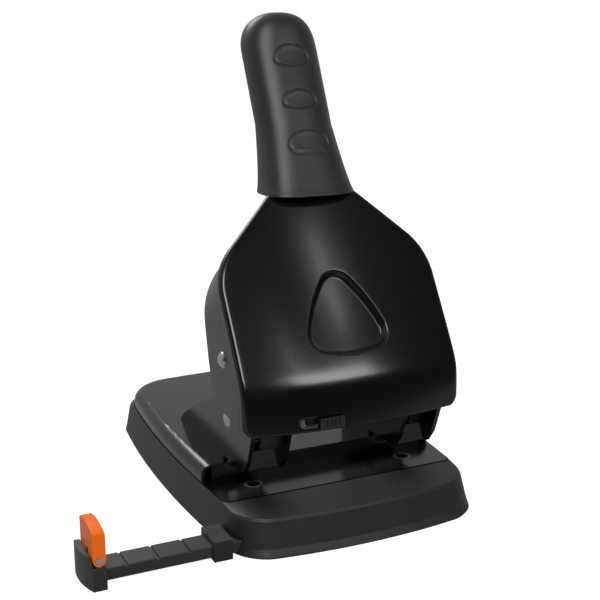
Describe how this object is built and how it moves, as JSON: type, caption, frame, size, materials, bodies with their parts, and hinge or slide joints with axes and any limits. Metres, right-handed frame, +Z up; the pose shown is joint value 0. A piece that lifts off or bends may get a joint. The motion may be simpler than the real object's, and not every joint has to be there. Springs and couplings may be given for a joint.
{
  "type": "hole punch",
  "caption": "Desk hole punch with a tall upright lever, a raised deck over a chip tray, a pull-out paper guide with a turning stop flag and a lever lock.",
  "frame": {"origin": "on the table under the punch, in its middle plane, straight below the line of the two punch pins", "axes": "+X to the right seen from the paper side, +Y from the paper to the back, +Z up"},
  "size_m": [0.1963, 0.1962, 0.2321],
  "materials": {
    "black_steel": "gloss black baked enamel",
    "tray_plastic": "satin charcoal plastic",
    "grip_rubber": "soft satin charcoal rubber",
    "guide_plastic": "satin charcoal plastic",
    "slider_plastic": "satin black plastic",
    "flag_plastic": "glossy orange plastic",
    "nickel": "nickel plated",
    "tool_steel": "ground",
    "zinc_steel": "zinc plated",
    "spring_steel": "drawn wire",
    "bronze": "sintered"
  },
  "bodies": {
    "tray": {"base_tray": "tray_plastic"},
    "frame": {"base_deck": "black_steel", "foot_screws": "zinc_steel", "frame_tie_rod": "nickel", "lock_catch": "zinc_steel", "side_frame_left": "black_steel", "side_frame_right": "black_steel", "punch_guide_left": "black_steel", "punch_guide_right": "black_steel", "pivot_bush_left": "bronze", "pivot_bush_right": "bronze", "die_left": "tool_steel", "die_right": "tool_steel"},
    "lever": {"lever_front_cover": "black_steel", "lever_rear_shell": "black_steel", "lever_cross_rod": "nickel", "pivot_shaft": "tool_steel", "pivot_washers": "zinc_steel", "handle_core": "zinc_steel", "core_rivets": "nickel", "handle_grip": "grip_rubber", "cam_left": "tool_steel", "cam_right": "tool_steel", "cam_pin_left": "zinc_steel", "cam_pin_right": "zinc_steel"},
    "lock_slider": {"lock_button": "slider_plastic", "lock_finger": "zinc_steel"},
    "punch_left": {"punch_pin_left": "tool_steel", "return_spring_left": "spring_steel"},
    "punch_right": {"punch_pin_right": "tool_steel", "return_spring_right": "spring_steel"},
    "paper_guide": {"guide_bar": "guide_plastic", "guide_end_block": "guide_plastic", "flag_pin": "nickel"},
    "stop_flag": {"stop_flag": "flag_plastic"}
  },
  "joints": [
    {"name": "lift_off", "type": "slide", "parent": "tray", "child": "frame", "axis": [0, 0, 1], "range_m": [0, 0.02]},
    {"name": "lever_press", "type": "hinge", "parent": "frame", "child": "lever", "pos_m": [0, -0.016, 0.062], "axis": [-1, 0, 0], "range_deg": [0, 45], "stiffness_Nm_per_rad": 0.8, "springref_deg": -68.75},
    {"name": "punch_stroke_left", "type": "slide", "parent": "frame", "child": "punch_left", "axis": [0, 0, -1], "range_m": [0, 0.0126], "deforming": ["return_spring_left"]},
    {"name": "punch_stroke_right", "type": "slide", "parent": "frame", "child": "punch_right", "axis": [0, 0, -1], "range_m": [0, 0.0126], "deforming": ["return_spring_right"]},
    {"name": "lock_slide", "type": "slide", "parent": "lever", "child": "lock_slider", "axis": [-1, 0, 0], "range_m": [0, 0.009]},
    {"name": "guide_slide", "type": "slide", "parent": "tray", "child": "paper_guide", "axis": [-1, 0, 0], "range_m": [-0.035, 0.04]},
    {"name": "flag_turn", "type": "hinge", "parent": "paper_guide", "child": "stop_flag", "pos_m": [-0.123, -0.0235, 0.0141], "axis": [0, 1, 0], "range_deg": [0, 90]}
  ],
  "couplings": [
    {"joint": "punch_stroke_left", "follows": "lever_press", "m_per_rad": 0.016},
    {"joint": "punch_stroke_right", "follows": "lever_press", "m_per_rad": 0.016}
  ]
}
